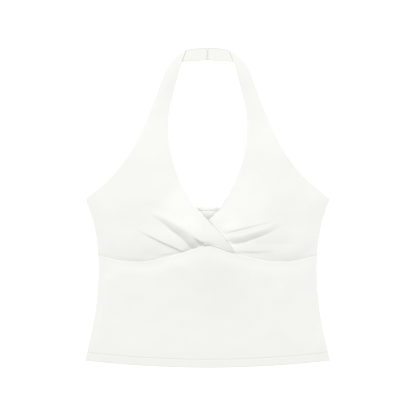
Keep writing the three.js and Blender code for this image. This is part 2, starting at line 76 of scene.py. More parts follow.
# How turned edges are rounded and pulled down
EDGE_ROUND = 1.1
EDGE_SINK = 0.25
EDGE_SINK_REACH = 0.8
PANEL_EDGE_ROUND = 0.9
SEAM_ROUND = 0.25

# How high the fullness of the cloth stands, and where
CUP_X = 97
CUP_Y = 48
CUP_HALF_WIDTH = 90
CUP_HEIGHT = 4.6
GATHER_HEIGHT = 2.0
KNOT_HEIGHT = 1.0
LOFT_HEIGHT = 1.1
SEAM_STAND = 2.0
CROSSING_STAND = 5.8
CROSSING_X = 13
CROSSING_Y = -49
CROSSING_LOW = 1.8
CROSSING_RISE = 8.4
SWAY_SHARE = 0.25
FRONT_SWAY = 0.22

SIDE_EDGE = np.array([
    # y, half width
    (UNDERARM_Y, HALF_BUST), (9.0, 198.8), (-4.1, 193.8), (-20.5, 188.7), (-53.3, 182.4), (-77.1, 180.2),
    (-102.5, 179.5), (-135.3, 180.8), (-168.1, 184.4), (-200.9, 190.2), (-233.7, 197.4), (-251.0, 201.3),
])
BUST_SEAM = np.array([
    # distance from the middle, y
    (0, -57.2), (16, -64.8), (38, -72.3), (60, -79.0), (80, -83.6), (97, -86.9), (120, -88.4), (150, -85.6),
    (180.2, -77.1),
])

# Rows across a halter piece: neckline x, y and outer edge x, y, for the left one
CUP_ROWS_ON_TOP = np.array([
    (44.5, -74.8, -180.2, -76.9), (34.4, -59.2, -181.3, -62), (19.2, -41.7, -183.6, -45),
    (0.5, -21.2, -187.4, -25), (-10, -10, -191.2, -12), (-19.5, 0.6, -195.6, 1),
    (-28.7, UNDERARM_Y, -HALF_BUST, UNDERARM_Y),
])
CUP_ROWS_BELOW = np.array([
    (4, -61.5, -180.2, -76.9), (3, -48, -181.3, -62), (1.5, -34.5, -183.6, -45),
    (-1.6, -21.2, -187.4, -25), (-12.8, -10, -191.2, -12), (-21.0, 0.6, -195.6, 1),
    (-28.7, UNDERARM_Y, -HALF_BUST, UNDERARM_Y),
])
STRAP_ROWS = np.array([
    (-28.7, UNDERARM_Y, -HALF_BUST, UNDERARM_Y), (-37.1, 28.7, -184.0, 28.7), (-45.2, 45.1, -164.4, 45.1),
    (-51.7, 61.5, -148.8, 61.5), (-60.5, 94.3, -125.0, 94.3), (-64.1, 127.1, -108.3, 127.1),
    (-62.5, 159.9, -94.3, 159.9), (-54.5, 192.7, -81.6, 192.7), (-49.8, 211.5, -76.3, 207.6),
    (-44.6, 230.5, -71.0, 221.0), (-39.6, 245.5, -67.0, 229.0), (-34.7, 258.6, -64.0, 232.8),
])
NECK_ROWS = np.array([
    (-34.7, 258.6, -64.0, 232.8), (-28.0, 261.0, -50.0, 236.8), (-19.0, 262.1, -35.0, 239.5),
    (-9.0, 262.5, -17.0, 240.6), (-0.15, HALF_LENGTH, -0.15, NECK_BAND_LOWER_Y),
])

# How finely the meshes are divided
CUP_EDGE_STEPS = np.array([0, 0.12, 0.35, 0.7, 1.15, 1.8, 2.6, 3.6])
CUP_LENGTH = 92
CUP_ROW_SHARES = np.concatenate([CUP_EDGE_STEPS / CUP_LENGTH, np.linspace(5 / CUP_LENGTH, 1, 130)])
STRAP_ROW_COUNT = 60
BAND_ROW_COUNT = 20
HALTER_COLUMNS = 176
HALTER_SKEW = 0.2
EDGE_STEPS = np.array([0, 0.1, 0.3, 0.6, 1.0, 1.4, 1.7, 2.0, 2.4, 3.0, 4.0])
HEM_OFFSETS = [1.0, 1.5, 2.4, 4, 6.5, 9, 11, 12.3, 12.9, 13.25, 13.5, 13.7, 13.9, 14.15, 14.5, 15.1, 16, 18]
HEM_INNER_OFFSETS = np.array([1.6, 3, 6, 9, 12, 14, 14.6, 14.8])
SEAM_STEPS = [8, 6, 4.6, 3.6, 2.8, 2.2, 1.7, 1.3, 0.9, 0.5, 0.2, 0.0]
BAND_STEPS = np.array([0, 0.02, 0.06, 0.14, 0.3, 0.5, 0.7, 0.86, 0.94, 0.98, 1])
BAND_COLUMNS = 160
SETTLE_ROUNDS = 10  # rounds in which a panel's points settle on its slanted sides


# Curves
def smooth(low, high, v):
    t = np.clip((np.asarray(v, float) - low) / (high - low), 0, 1)
    return t * t * (3 - 2 * t)


def curve_through(at, values):
    """A smooth curve through the points, as a function."""
    order = np.argsort(at)
    at, values = np.asarray(at, float)[order], np.asarray(values, float)[order]
    last = len(at) - 1
    before = np.maximum(np.arange(last + 1) - 1, 0)
    after = np.minimum(np.arange(last + 1) + 1, last)
    slopes = (values[after] - values[before]) / (at[after] - at[before])

    def curve(x):
        x = np.asarray(x, float)
        i = np.clip(np.searchsorted(at, x, side="right") - 1, 0, last - 1)
        width = at[i + 1] - at[i]
        t = np.clip((x - at[i]) / width, 0, 1)
        rise = t * t * (3 - 2 * t)
        bend = width * t * (1 - t) * (slopes[i] * (1 - t) - slopes[i + 1] * t)
        return values[i] * (1 - rise) + values[i + 1] * rise + bend

    return curve


half_width = curve_through(SIDE_EDGE[:, 0], SIDE_EDGE[:, 1])
seam_by_x = curve_through(BUST_SEAM[:, 0], BUST_SEAM[:, 1])
top_neckline = curve_through(CUP_ROWS_ON_TOP[:, 1], CUP_ROWS_ON_TOP[:, 0])
lower_neckline = curve_through(CUP_ROWS_BELOW[:, 1], CUP_ROWS_BELOW[:, 0])
band_upper_edge = curve_through(NECK_ROWS[:, 0], NECK_ROWS[:, 1])
band_lower_edge = curve_through(NECK_ROWS[:, 2], NECK_ROWS[:, 3])


def bust_seam_y(x):
    return seam_by_x(np.hypot(x, SEAM_PEAK))


def hem_y(x):
    return -HALF_LENGTH + HEM_SIDE_RISE * (np.asarray(x) / HALF_BUST) ** 2


def back_edge_y(x):
    return BACK_EDGE_Y + (UNDERARM_Y - BACK_EDGE_Y) * (np.asarray(x) / HALF_BUST) ** 2


# Gathers and folds
class Line:
    """A line on the cloth from the soft end of a fold to where it is caught."""

    def __init__(self, points):
        p = np.array(points, float)
        run = p[-1] - p[0]
        self.length = math.hypot(*run)
        self.start = p[0]
        self.way = run / self.length
        self.up = 1 if run[0] > 0 else -1
        rel = p - self.start
        self.offset = curve_through(rel @ self.way / self.length, self.across(rel))

    def across(self, rel):
        return (rel[..., 1] * self.way[0] - rel[..., 0] * self.way[1]) * self.up

    def place(self, x, y):
        """How far along the line a point is, as a share, and how far above the line, towards +Y."""
        rel = np.stack([x - self.start[0], y - self.start[1]], -1)
        along = rel @ self.way / self.length
        return along, self.across(rel) - self.offset(np.clip(along, 0, 1))


class Roll:
    """A soft ridge along a line, or with a height below 0 a trough. above and below are the half-widths
    of its flanks. full is the share of the line at which it has its whole height."""

    def __init__(self, points, height, above, below, full=0.5, ends=(-0.1, 1.15)):
        self.line = Line(points)
        self.height, self.above, self.below = height, above, below
        self.full, self.ends = full, ends

    def __call__(self, x, y):
        along, side = self.line.place(x, y)
        width = np.where(side > 0, self.above, self.below)
        reach = smooth(self.ends[0], self.full, along) * (1 - smooth(1.0, self.ends[1], along))
        return self.height * reach * np.exp(-(side / width) ** 2)


class Lip:
    """Cloth that rolls over and drops to a crease along a line. It stands height above the cloth below
    the crease, gets there within rise (at the soft and at the caught end), and sinks away over fade."""

    def __init__(self, points, height, rise, fade, full=0.5, ends=(-0.1, 1.15), power=1.7):
        self.line = Line(points)
        self.height, self.rise, self.fade = height, rise, fade
        self.full, self.ends, self.power = full, ends, power

    def __call__(self, x, y):
        along, side = self.line.place(x, y)
        rise = self.rise[0] + (self.rise[1] - self.rise[0]) * np.clip(along, 0, 1.2)
        reach = smooth(self.ends[0], self.full, along) * (1 - smooth(1.0, self.ends[1], along))
        short = np.clip(1 - side / rise, 0, 1)
        drop = 1 - short ** self.power
        return self.height * reach * drop * np.exp(-(np.maximum(0, side - rise) / self.fade) ** 2)


FOLDS_ON_TOP = [
    # the crossing band falls softly to the cloth below it
    Lip([(-95, -12), (-82, -19.5), (-70, -28), (-58, -38.5), (-45.3, -48), (-36, -57), (-29, -65)],
        8.3, (6.0, 20), 72, full=0.8, ends=(-0.05, 3.0)),
    # the cup's lower side, down to the seam
    Lip([(-176, -78), (-150, -85.5), (-120, -88.5), (-97, -87), (-60, -79), (-40, -73)],
        2.6, (24, 18), 44, ends=(-0.1, 1.3), power=1.3),
    # soft slack above the band
    Roll([(-112, 3), (-80, -4), (-39, -22)], -0.2, 6, 6, full=0.4),
]
CREASES_ON_TOP = [
    # the roll below it, which hangs over the crease, and the cloth tucked in under that roll
    Lip([(-117, -34), (-108.5, -40.4), (-81.6, -54.5), (-58.2, -65), (-41.7, -72.6)],
        1.5, (1.2, 1.5), 20, full=0.6),
    Roll([(-108, -44), (-82, -57), (-60, -67.5), (-44, -74)], -0.4, 2.5, 8, full=0.4),
    # the cloth puffed over the seam
    Lip([(-150, -81), (-140, -84), (-128, -86), (-110, -86)], 0.5, (3.5, 3), 20, full=0.4),
    Lip([(-84, -81), (-78, -80), (-60, -77), (-45, -74)], 0.9, (3, 3), 10, full=0.4),
]

# The band's sharp edge near the seam, and the small fold under it
BAND_EDGE = Line([
    (-36, -41), (-30, -44.5), (-19.5, -52), (-10, -56.8), (-1, -59.6), (8, -61.9), (22.7, -67.4),
    (34, -70.4),
])
INNER_FOLD = Lip([(-34, -45), (-28.9, -51), (-20.7, -58), (-9, -60.5)], 0.8, (2.4, 2.6), 6, full=0.4)

FOLDS_BELOW = [
    # the cup's lower side, down to the seam
    Lip([(176, -78), (150, -85.5), (120, -88.5), (97, -87)],
        1.8, (20, 10), 40, full=0.3, ends=(-0.1, 1.5), power=1.3),
    # soft cloth below the deep crease
    Lip([(146, -58), (115, -60), (84, -60)], 1.0, (16, 12), 30, full=0.4, ends=(-0.2, 1.3)),
]
CREASES_BELOW = [
    # the first, thin crease, and the cloth puffed above it near the crossing
    Lip([(112, -21), (94.1, -26.3), (71.4, -32), (52.5, -37), (33.6, -41.4), (16, -42.4)],
        0.8, (1.4, 1.8), 30),
    Roll([(70, -28), (50, -33), (24, -38)], 0.7, 8, 4.5, full=0.7),
    # the deep crease
    Lip([(122, -30), (111.8, -35), (103, -40.5), (86.6, -47.5), (74, -52), (61.3, -56.6), (50, -58.6),
         (32, -61)],
        4.8, (8, 13), 58, full=0.6, ends=(-0.1, 1.6), power=1.5),
    # the lowest crease
    Lip([(120, -72.8), (106.7, -73.6), (91.6, -74.4), (76.5, -75.3), (61.3, -74.8), (46, -75.5)],
        1.4, (4.0, 5.0), 20, full=0.8),
    # the cloth puffed over the seam
    Lip([(160, -80), (150, -83.5), (136, -86.8), (112, -87)], 0.5, (5, 6), 20, full=0.3),
]
FRONT_FOLDS = [
    Roll([(-128, -238), (-122, -170), (-112, -96)], -0.8, 24, 24, full=0.4),
    Roll([(-172, -225), (-166, -170), (-160, -120)], 0.8, 13, 13, full=0.4),
    Roll([(150, -236), (120, -190), (137, -92)], 0.8, 14, 18, full=0.3),
    Roll([(166, -246), (182, -228), (193, -205)], 0.7, 9, 11, full=0.4),
    Roll([(-20, -112), (-60, -90)], 0.6, 12, 12, full=0.4),
]
SWAY_WAVES = (
    # waves in 3 m along x and along y, phase, share of the height
    (53, 21, 0.4, 0.30), (-37, 61, 1.9, 0.26), (88, -29, 3.1, 0.18), (17, 95, 5.0, 0.14),
    (-120, -80, 2.2, 0.08),
)


def sway(x, y):
    """The slight unevenness that cloth keeps on a table, at most about 1 high."""
    turn = 2 * math.pi / 3 / 1000
    return sum(share * np.sin(kx * x * turn + ky * y * turn + phase) for kx, ky, phase, share in SWAY_WAVES)


def cup_swell(x, y, side):
    """The fullness of a cup and of its gathers. side is -1 on the left and 1 on the right."""
    x = x * side
    crest = CUP_Y + 0.6 * np.maximum(0, x - CUP_X)
    along = (y - crest) / np.where(y > crest, 115, 145)
    over = (x - CUP_X) / CUP_HALF_WIDTH
    dome = CUP_HEIGHT * (1 - smooth(0, 1, np.hypot(over, along)))
    gathered = GATHER_HEIGHT * np.exp(-((x - 42) / 42) ** 2 - ((y + 56) / 30) ** 2)
    return dome + gathered


def knot_lift(x, y):
    """The doubled crossing stands off the back."""
    return KNOT_HEIGHT * np.exp(-(x / 36) ** 2 - ((y + 44) / 18) ** 2)


def loft(x, y):
    """How far the front stands off the back away from the sides and the open neck."""
    open_neck = np.exp(-(x / 34) ** 2 - ((y + 4) / 24) ** 2)
    from_side = smooth(0, 28, half_width(y) - np.abs(x))
    return LOFT_HEIGHT * from_side * (1 - smooth(-30, 55, y)) * (1 - 0.8 * open_neck)


def under_halter(x, y):
    """The height of what a halter piece lies on: the back with its band, and past its edge the table."""
    above = y - back_edge_y(x)
    over_band = smooth(-BAND_DEPTH - 34, -BAND_DEPTH - 1.5, above)
    past_edge = smooth(-6, 66, above)
    return (FRONT_REST + over_band * 0.5) * (1 - past_edge)


def seam_stand(x):
    """How far the seam under the bust stands off the back."""
    at_crossing = np.exp(-((x - CROSSING_X) / np.where(x > CROSSING_X, 40, 34)) ** 2)
    return SEAM_STAND * np.exp(-(np.abs(x) / 110) ** 3) + CROSSING_STAND * at_crossing


def seam_pinch(x, y, length):
    return 1 - np.exp(-np.maximum(0, y - bust_seam_y(x)) / length)


def near_edge(across, reach):
    """1 at a neckline edge and 0 away from it. across is the distance to it along X."""
    return np.exp(-(np.maximum(0, across) * 0.72 / reach) ** 2)


def crossing_height(y):
    """How high the underside of the upper piece is along its neckline edge."""
    return CROSSING_LOW + CROSSING_RISE * np.exp(-((y - CROSSING_Y) / np.where(y > CROSSING_Y, 60, 40)) ** 2)


def lower_under(x, y):
    """The underside of the right halter piece, which lies below at the crossing."""
    under_band = top_neckline(y) - x
    covered = np.where(y < -15, smooth(0, 18, under_band), 0)
    broad = cup_swell(x, y, 1) * (1 - covered) + loft(x, y) + knot_lift(x, y)
    broad = broad + sum(f(x, y) for f in FOLDS_BELOW) * (1 - covered)
    stand = seam_stand(x)
    broad = stand + (broad - stand) * seam_pinch(x, y, 18)
    creases = sum(f(x, y) for f in CREASES_BELOW)
    small = (creases + SWAY_SHARE * sway(x, y)) * (1 - covered) * seam_pinch(x, y, 2.5)
    alone = np.maximum(0, broad + small)

    # it fits into the room under the upper piece, and near the seam fills it up to that piece's edge
    room = np.maximum(0.2, crossing_height(y) - HALTER_CLOTH - CROSSING_GAP)
    held = near_edge(-under_band, 12) * (1 - smooth(-24, -12, y))
    alone = alone + (np.minimum(alone, room) - alone) * held
    beside = np.maximum(0, -under_band) * 0.72
    by_seam = 1 - smooth(-44, -36, y)
    alone = alone + np.maximum(0, room - 0.4 - alone) * np.exp(-(beside / 3.2) ** 2) * by_seam

    # beside that edge: a slight tilt, a rim near the seam, and a narrow dip
    tilt = 0.11 * (y + 26) * np.exp(-((x - 12) / 20) ** 2 - ((y + 26) / 20) ** 2)
    rim = 0.35 * np.exp(-((beside - 1.8) / 1.6) ** 2) * by_seam
    dip = 0.6 * np.exp(-(beside / 1.2) ** 2) * (1 - smooth(-26, -20, y))
    alone = alone + (tilt + rim - dip) * smooth(6, 0, under_band)

    # at its own neckline it lies lower
    down = near_edge(x + lower_neckline(y), 22) * smooth(-42, -22, y) * (1 - smooth(4, 60, y))
    low_edge = np.minimum(alone, 5.4 + 0.05 * np.maximum(0, -y))
    return under_halter(x, y) + alone * (1 - down) + low_edge * down


def upper_under(x, y):
    """The underside of the left halter piece, which crosses on top."""
    stand = seam_stand(x)
    from_seam = np.maximum(0, y - bust_seam_y(x))
    on_band = smooth(-44, -30, x)
    pinch = (1 - np.exp(-from_seam / 18)) * (1 - on_band) + (1 - np.exp(-from_seam / 2)) * on_band
    broad = cup_swell(x, y, -1) + loft(x, y) + knot_lift(x, y) + sum(f(x, y) for f in FOLDS_ON_TOP)
    broad = stand + (broad - stand) * pinch
    creases = sum(f(x, y) for f in CREASES_ON_TOP)
    small = (creases + SWAY_SHARE * sway(x + 31, y - 17)) * seam_pinch(x, y, 1.5)
    alone = np.maximum(0, broad + small)

    # right of the middle the band's end stays low at the seam
    cap = stand + 3.2 - 0.3 * smooth(26, 40, x) + 0.04 * from_seam
    alone = alone + (np.minimum(alone, cap) - alone) * smooth(-6, 6, x) * np.exp(-(from_seam / 22) ** 2)

    # past the band's sharp edge the cloth drops to the small fold
    past_edge = smooth(1.1, -0.9, BAND_EDGE.place(x, y)[1]) * smooth(-27, -9, x) * (1 - smooth(30, 38, x))
    below_band = stand + 2.0 * smooth(2.5, 13, from_seam) + INNER_FOLD(x, y) * smooth(0, 3, from_seam)
    alone = alone * (1 - past_edge) + below_band * past_edge

    # along the neckline it comes down to the crossing
    down = near_edge(top_neckline(y) - x, 17) * (1 - smooth(10, 50, y))
    edge = stand + (crossing_height(y) - stand) * (1 - np.exp(-from_seam / 1.5))
    alone = alone * (1 - down) + edge * down
    ramp = -8 - 30 * smooth(-52, -25, y)
    crossing = smooth(0, 1, (x + lower_neckline(y) - ramp) / (-1 - ramp)) * (1 - smooth(-24, -14, y))
    on_it = (lower_under(x, y) + HALTER_CLOTH + CROSSING_GAP - under_halter(x, y)) * crossing
    return under_halter(x, y) + np.where(y > UNDERARM_Y, alone, np.maximum(alone, on_it))


def strap_under(x, y):
    over_band = smooth(-60, -4, y - band_lower_edge(x))
    return np.maximum(under_halter(x, y), over_band * (HALTER_CLOTH + LAYER_EASE))


def neck_puff(x, y):
    """The back puffs up a little in the V of the neckline, and its edge lifts at both sides of it."""
    puff = 1.9 * np.exp(-(x / 13) ** 2 - ((y + 11) / np.where(y > -11, 40, 5)) ** 2)
    lifted = 1.3 * smooth(6, 19, np.abs(x)) * (1 - smooth(26, 42, np.abs(x))) * smooth(-8, 1.5, y)
    return puff + lifted


def back_middle(x, y):
    """The height of the middle of the back's outer layer."""
    return BODY_CLOTH / 2 + neck_puff(x, y)


def front_middle(x, y):
    """The height of the middle of the front's outer layer."""
    over_back_hem = 1 - smooth(HEM_DEPTH + 2, HEM_DEPTH + 80, y - hem_y(x))
    from_seam = np.maximum(bust_seam_y(x) - y, 0)
    lift = loft(x, y) * (1 - 0.6 * over_back_hem) * smooth(0, 24, from_seam)
    lift = lift + seam_stand(x) * np.exp(-(from_seam / 74) ** 2)
    folds = sum(f(x, y) for f in FRONT_FOLDS) * smooth(0, 40, y - hem_y(x))
    folds = folds + FRONT_SWAY * sway(x - 60, y + 25) * smooth(2, 50, y - hem_y(x))
    rise = 0.4 + 0.5 * np.exp(-from_seam / 6) - 0.3 * (1 - smooth(0, 2.4, from_seam))
    held = smooth(0, 12, half_width(y) - np.abs(x))
    rest = FRONT_REST + BODY_CLOTH / 2 + HEM_STACK * over_back_hem
    return rest + np.maximum(0, lift + folds * held) + rise * held * (1 - over_back_hem)


# Meshes
def make_mesh(name, vertices, faces, material):
    """A smooth-shaded object from vertices in millimetres and a list of faces."""
    mesh = bpy.data.meshes.new(name)
    mesh.from_pydata((vertices * MM).tolist(), [], faces)
    mesh.polygons.foreach_set("use_smooth", np.ones(len(mesh.polygons), bool))
    mesh.update()
    obj = bpy.data.objects.new(name, mesh)
    bpy.context.scene.collection.objects.link(obj)
    mesh.materials.append(material)
    return obj


def skin(name, upper, lower, inverted, material):
    """A closed skin between two matching grids of points."""
    rows, columns = upper.shape[:2]
    count = rows * columns
    vertices = np.concatenate([upper.reshape(-1, 3), lower.reshape(-1, 3)])
    index = np.arange(count).reshape(rows, columns)
    a, b, c, d = index[:-1, :-1], index[1:, :-1], index[1:, 1:], index[:-1, 1:]
    top = np.stack([a, b, c, d], -1).reshape(-1, 4)
    bottom = np.stack([a, d, c, b], -1).reshape(-1, 4) + count
    rim = np.concatenate([index[0, ::-1], index[1:, 0], index[-1, 1:], index[-2:0:-1, -1]])
    follow = np.roll(rim, -1)
    sides = np.stack([follow, rim, rim + count, follow + count], -1)
    faces = np.concatenate([top, bottom, sides])
    if inverted:
        faces = faces[:, ::-1]
    return make_mesh(name, vertices, faces.tolist(), material)


def facing(points, up):
    """For each point a direction straight up, or straight down where up is -1."""
    face = np.zeros_like(points)
    face[..., 2] = up
    return face


def shares_across(lengths, count, skew=0.0):
    """Places across rows of the given lengths: close together at both ends, and skew packs them to the
    start."""
    inner = np.linspace(0, 1, count)
    inner = inner * (1 - skew + skew * inner ** 2)
    ends = EDGE_STEPS[None, :] / lengths[:, None]
    start, stop = ends[:, -1:], 1 - ends[:, -1:]
    middle = start + (stop - start) * inner[None, 1:-1]
    return np.concatenate([ends, middle, 1 - ends[:, ::-1]], 1)


def edge_fall(distance, reach):
    """1 inside, and down to nearly 0 at an edge: the rounding of a turned edge."""
    t = np.clip(1 - distance / reach, 0, 1)
    return np.sqrt(np.maximum(1 - t ** 2, 0.002))


def rows_along(table, shares):
    """Rows between those of a table, at shares of the way along their middles."""
    middles = (table[:, :2] + table[:, 2:]) / 2
    run = np.concatenate([[0], np.cumsum(np.hypot(*np.diff(middles, axis=0).T))])
    return np.stack([curve_through(run, table[:, k])(shares * run[-1]) for k in range(4)], -1)


def across(rows, shares, bow):
    """Points of rows at shares across them, moved out from the straight line by bow at its middle."""
    step = rows[:, 2:] - rows[:, :2]
    length = np.hypot(step[:, 0], step[:, 1])
    out = bow * 4 * shares * (1 - shares)
    x = rows[:, :1] + step[:, :1] * shares + step[:, 1:] / length[:, None] * out
    y = rows[:, 1:2] + step[:, 1:] * shares - step[:, :1] / length[:, None] * out
    return x, y


def halter_shares(rows):
    """Places across a halter piece's rows, and how far each is from the neckline and the nearer edge."""
    lengths = np.hypot(rows[:, 2] - rows[:, 0], rows[:, 3] - rows[:, 1])
    shares = shares_across(lengths, HALTER_COLUMNS, HALTER_SKEW)
    return shares, shares * lengths[:, None], np.minimum(shares, 1 - shares) * lengths[:, None]


# A part of a halter piece is the points of its middle, the way its right side faces, its half
# thickness, and how far its right side is set back
def cup_part(table, side, under):
    cup = rows_along(table, CUP_ROW_SHARES)
    shares, near_neck, edge = halter_shares(cup)
    x, y = across(cup, shares, 0)
    seam_x, seam_y = across(np.repeat(cup[:1], len(cup), 0), shares, 0)
    pull = (1 - CUP_ROW_SHARES[:, None]) ** 1.6
    y = y + pull * (bust_seam_y(seam_x) - SEAM_TUCK - seam_y)
    from_seam = np.maximum(y - bust_seam_y(x), 0)

    # where the neckline edges lie on cloth they are sharper than where they lie open
    sharp = smooth(-20, -8, y) if side > 0 else 1 - smooth(-26, -16, y)
    sharp = sharp * (1 - smooth(4, 12, near_neck))
    roundness = edge_fall(edge, EDGE_ROUND - 0.7 * sharp) * edge_fall(from_seam, SEAM_ROUND)
    sink = EDGE_SINK * np.exp(-edge / EDGE_SINK_REACH) * (1 - sharp) + 0.45 * np.exp(-from_seam / 1.5)
    curl = 0 if side < 0 else 0.8 * np.exp(-(near_neck / 2.5) ** 2) * smooth(-14, 0, y)
    z = under(-side * x, y) + HALTER_CLOTH / 2 - sink * 0.6 + curl
    middle = np.stack([x, y, z], -1)
    return middle, facing(middle, 1), HALTER_CLOTH / 2 * roundness, sink * 0.4 * roundness


def strap_part(side, under):
    done = np.linspace(0, 1, STRAP_ROW_COUNT)[1:]
    strap = rows_along(STRAP_ROWS, done)
    done = done[:, None]
    shares, _, edge = halter_shares(strap)
    x, y = across(strap, shares, FOLD_BOW * smooth(0.8, 1, done))
    base = np.maximum(strap_under(-side * x, y), under(-side * x, y) * (1 - smooth(120, 190, y)))
    crown = 0.8 * smooth(0.15, 0.6, done) * (1 - smooth(0.72, 1, done))
    crown = crown * np.sin(math.pi * np.clip(shares, 0, 1)) ** 1.5
    crown = crown * (1 + 0.35 * np.sin(7 * done + 2 * shares))
    sink = EDGE_SINK * np.exp(-edge / EDGE_SINK_REACH)
    middle = np.stack([x, y, base + HALTER_CLOTH / 2 - sink * 0.6], -1)
    roundness = edge_fall(edge, EDGE_ROUND)
    return middle, facing(middle, 1), HALTER_CLOTH / 2 * roundness, (sink * 0.4 - crown) * roundness


def fold_part():
    """Round the fold, from the strap on top to the band under it."""
    fold = STRAP_ROWS[-1:]
    radius = (HALTER_CLOTH + LAYER_EASE) / 2
    out = np.array([fold[0, 3] - fold[0, 1], fold[0, 0] - fold[0, 2], 0.0])
    out *= math.copysign(1, out[1]) / np.linalg.norm(out)
    angles = np.linspace(0, math.pi, 11)[1:]
    shares, _, edge = halter_shares(fold)
    x, y = across(fold, shares, FOLD_BOW)
    sink = 0.3 * np.exp(-edge / 2.0)
    centre = np.stack([x[0], y[0], np.full(x.shape[1], HALTER_CLOTH / 2 + radius)], -1)
    face = np.sin(angles)[:, None, None] * out + np.cos(angles)[:, None, None] * np.array([0, 0, 1.0])
    face = np.repeat(face, x.shape[1], 1)
    middle = centre[None] + face * radius
    middle[..., 2] -= sink * np.cos(angles / 2)[:, None] ** 2
    thin = np.repeat(HALTER_CLOTH / 2 * edge_fall(edge, EDGE_ROUND), len(angles), 0)
    return middle, face, thin, 0 * thin


def band_part():
    """Half of the neck band, with its inner side up."""
    done = np.linspace(0, 1, BAND_ROW_COUNT)[1:]
    band = rows_along(NECK_ROWS, done)
    done = done[:, None]
    shares, _, edge = halter_shares(band)
    x, y = across(band, shares, FOLD_BOW * (1 - smooth(0, 1, done)))
    roundness = edge_fall(edge, EDGE_ROUND) * edge_fall(np.abs(x), 0.5)
    middle = np.stack([x, y, HALTER_CLOTH / 2 + (1 - shares) * smooth(0, 0.6, done)], -1)
    return middle, facing(middle, -1), HALTER_CLOTH / 2 * roundness, 0 * x


def halter(name, table, side, under, material):
    """A cup, its strap and its half of the neck band in one sheet, for the left (-1) or right (1) side."""
    parts = [cup_part(table, side, under), strap_part(side, under), fold_part(), band_part()]
    upper = np.concatenate([m + f * (t - back)[..., None] for m, f, t, back in parts])
    lower = np.concatenate([m - f * t[..., None] for m, f, t, back in parts])
    upper[..., 0] *= -side
    lower[..., 0] *= -side
    return skin(name, upper, lower, side > 0, material)


def panel_points(offsets, columns):
    """Points at heights above the hem's edge, at places across from -1 to 1. offsets is (rows, columns)."""
    x = columns[None, :] * HALF_BUST + 0 * offsets
    for _ in range(SETTLE_ROUNDS):
        y = hem_y(x) + offsets
        x = columns[None, :] * half_width(y)
    return x, y


def body_columns(count):
    edge = EDGE_STEPS / HALF_BUST
    inner = np.linspace(1 - edge[-1], -1 + edge[-1], count)[1:-1]
    return np.concatenate([1 - edge, inner, -1 + edge[::-1]])


def panel_layer(offsets, columns, top_edge, count_rows, middle_of, outside):
    """The outer layer of a body panel, from the hem's edge to its top edge."""
    x = columns * HALF_BUST
    for _ in range(SETTLE_ROUNDS):
        y = top_edge(x)
        x = columns * half_width(y)
    whole = y - hem_y(x)
    inner = np.linspace(0, 1, count_rows)[1:-1, None]
    outer = np.concatenate([
        np.repeat(np.array(offsets)[:, None], len(columns), 1),
        offsets[-1] + (whole - SEAM_STEPS[0] - offsets[-1])[None] * inner,
        whole[None] - np.array(SEAM_STEPS)[:, None],
    ])
    x, y = panel_points(outer, columns)
    edge = (1 - np.abs(columns))[None] * HALF_BUST
    roundness = edge_fall(edge, PANEL_EDGE_ROUND) * edge_fall(whole[None] - outer, SEAM_ROUND)
    groove = 0.32 * np.exp(-((outer - HEM_DEPTH) / 0.42) ** 2) * smooth(1.2, 3, edge)
    middle = np.stack([x, y, middle_of(x, y)], -1)
    return middle, facing(middle, outside), BODY_CLOTH / 2 * roundness, groove


def hem_turn(columns, middle_of, outside):
    """Round the hem's edge."""
    angles = np.linspace(0, math.pi, 9)[1:]
    radius = HEM_LAYER / 2
    x, y = panel_points(np.full((1, len(columns)), HEM_OFFSETS[0]), columns)
    z = middle_of(x, y)
    face = np.zeros((len(angles), len(columns), 3))
    face[..., 1] = -np.sin(angles)[:, None]
    face[..., 2] = outside * np.cos(angles)[:, None]
    centre = np.stack([x[0], y[0], z[0] - outside * radius], -1)
    edge = (1 - np.abs(columns))[None] * HALF_BUST
    thin = BODY_CLOTH * HEM_INNER_SHARE * edge_fall(edge, PANEL_EDGE_ROUND)
    return centre[None] + face * radius, face, np.repeat(thin, len(angles), 0), 0


def hem_inside(columns, middle_of, outside):
    """The hem's turned-up layer."""
    offsets = HEM_INNER_OFFSETS[:, None] + 0 * columns[None]
    x, y = panel_points(offsets, columns)
    middle = np.stack([x, y, middle_of(x, y) - outside * HEM_LAYER], -1)
    edge = (1 - np.abs(columns))[None] * HALF_BUST
    tail = edge_fall(HEM_INNER_OFFSETS[-1] - offsets, 0.7)
    thin = BODY_CLOTH * HEM_INNER_SHARE * edge_fall(edge, PANEL_EDGE_ROUND) * tail
    return middle, facing(middle, -outside), thin, 0


def panel(name, top_edge, middle_of, count_rows, count_columns, outside, material):
    """A body panel with its turned-up hem. outside is 1 where its right side looks up, -1 where down."""
    columns = body_columns(count_columns)
    uppers, lowers = [], []
    for m, f, t, back in (hem_inside(columns, middle_of, outside), hem_turn(columns, middle_of, outside)):
        uppers.append((m + f * (t - back)[..., None])[::-1])
        lowers.append((m - f * t[..., None])[::-1])
    m, f, t, back = panel_layer(HEM_OFFSETS, columns, top_edge, count_rows, middle_of, outside)
    uppers.append(m + f * (t - back)[..., None])
    lowers.append(m - f * t[..., None])
    return skin(name, np.concatenate(uppers), np.concatenate(lowers), outside < 0, material)


def back_band(name, material):
    """The narrow band inside the back's top edge."""
    columns = np.linspace(1, -1, BAND_COLUMNS)
    rows = []
    for step in BAND_STEPS:
        x = columns * HALF_BUST
        for _ in range(SETTLE_ROUNDS):
            y = back_edge_y(x) - BAND_DEPTH + (BAND_DEPTH - BAND_DROP) * step
            x = columns * (half_width(y) - BAND_INSET)
        rows.append(np.stack([x, y, BAND_MIDDLE_Z + neck_puff(x, y)], -1))
    middle = np.stack(rows)
    edge = np.minimum(BAND_STEPS, 1 - BAND_STEPS)[:, None] * BAND_DEPTH
    half = BAND_CLOTH / 2 * edge_fall(edge, 0.3)
    up = facing(middle, 1)
    return skin(name, middle + up * half[..., None], middle - up * half[..., None], False, material)


